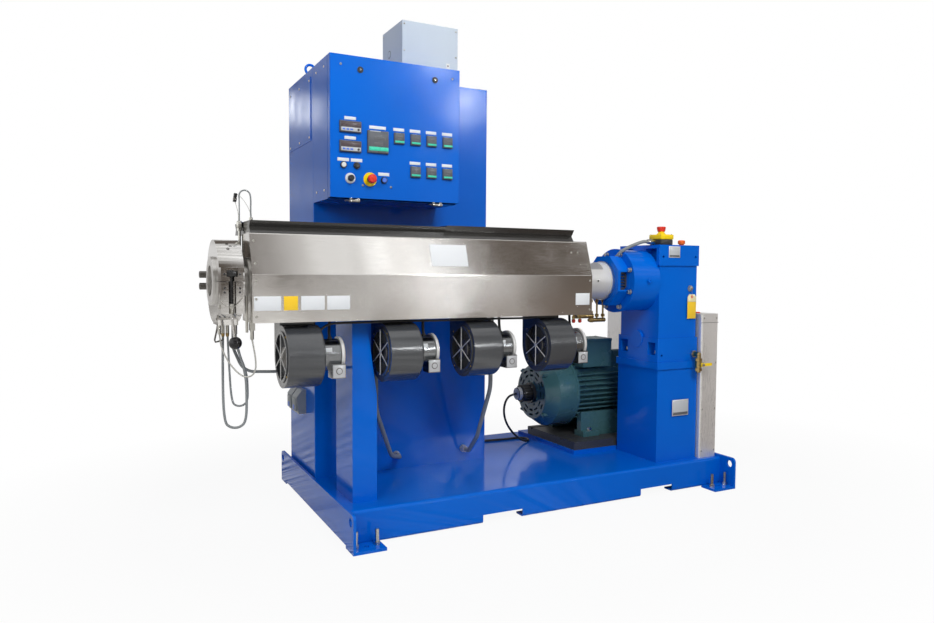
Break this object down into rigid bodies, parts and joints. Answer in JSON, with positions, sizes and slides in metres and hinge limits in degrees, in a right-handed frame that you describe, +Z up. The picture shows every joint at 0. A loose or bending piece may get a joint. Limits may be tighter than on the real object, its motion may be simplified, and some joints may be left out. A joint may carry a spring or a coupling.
{
  "type": "single-screw plastic extruder",
  "caption": "Single-screw plastic extruder on a blue skid: hooded barrel with blowers, split die clamp, gearbox, motor, belt guard and control cabinet with a drop-down panel door.",
  "frame": {"origin": "on the floor, at the centre of the four anchor holes of the skid", "axes": "+X along the screw towards the drive, -Y towards the operator, +Z up"},
  "size_m": [2.5355, 1.192, 2.302],
  "materials": {
    "blue_enamel": "gloss enamel",
    "stainless": "brushed",
    "dark_cap": "semi-gloss",
    "machined_steel": "turned and polished",
    "zinc_steel": "zinc plated",
    "heater_jacket": "cast",
    "dark_grey_paint": "satin",
    "motor_green": "semi-gloss",
    "grey_paint": "satin powder coat",
    "black_plastic": "moulded",
    "instrument_plastic": "moulded",
    "stop_red": "moulded",
    "orange_plastic": "moulded",
    "brass": "as drawn",
    "yellow_plastic": "dipped",
    "cable_rubber": "jacketed"
  },
  "bodies": {
    "skid": {"barrel": "machined_steel", "barrel_post": "blue_enamel", "belt_guard": "stainless", "blower_housings": "dark_grey_paint", "blower_inlet_guards": "dark_grey_paint", "blower_motors": "dark_grey_paint", "cabinet": "blue_enamel", "clamp_bolts": "zinc_steel", "clamp_lever": "black_plastic", "cooling_water_pipes": "brass", "deck_plate": "blue_enamel", "die_adapter": "machined_steel", "die_clamp_lower": "machined_steel", "die_clamp_upper": "machined_steel", "door_hinge_leaves": "zinc_steel", "drain_valve": "brass", "drive_post": "blue_enamel", "encoder_cable": "cable_rubber", "end_plates": "blue_enamel", "feed_throat": "machined_steel", "foot_plates": "blue_enamel", "gearbox_housing": "blue_enamel", "heater_conduits": "zinc_steel", "heater_zones": "heater_jacket", "hood_back_cover": "stainless", "hood_end_plates": "stainless", "hood_front_cover": "stainless", "hood_vent_caps": "dark_cap", "jack_bolts": "zinc_steel", "lantern_grilles": "black_plastic", "lead_fittings": "black_plastic", "lifting_eyes": "blue_enamel", "melt_sensor": "zinc_steel", "melt_sensor_lead": "cable_rubber", "motor_encoder": "black_plastic", "motor_end_bell": "motor_green", "motor_frame": "motor_green", "motor_pad": "blue_enamel", "motor_slide_rails": "black_plastic", "motor_terminal_box": "black_plastic", "oil_plugs": "orange_plastic", "panel_box": "blue_enamel", "resistor_box": "grey_paint", "screw": "machined_steel", "sensor_cable_long": "cable_rubber", "sensor_cable_short": "cable_rubber", "side_access_panel": "blue_enamel", "side_channels": "blue_enamel", "socket_outlets": "grey_paint", "stop_station": "stop_red", "thermocouple_lead": "cable_rubber", "throat_collar": "machined_steel", "thrust_housing": "blue_enamel"},
    "door": {"control_door": "blue_enamel", "digital_meters": "instrument_plastic", "temperature_controllers": "instrument_plastic", "door_controls": "instrument_plastic", "door_stop_button": "stop_red", "door_hinge_knuckles": "zinc_steel"},
    "valve_lever": {"drain_valve_lever": "yellow_plastic"}
  },
  "joints": [
    {"name": "door_hinge", "type": "hinge", "parent": "skid", "child": "door", "pos_m": [-0.695, -0.225, 1.408], "axis": [1, 0, 0], "range_deg": [0, 90]},
    {"name": "valve_turn", "type": "hinge", "parent": "skid", "child": "valve_lever", "pos_m": [0.855, -0.518, 0.64], "axis": [0, 1, 0], "range_deg": [0, 90]}
  ]
}
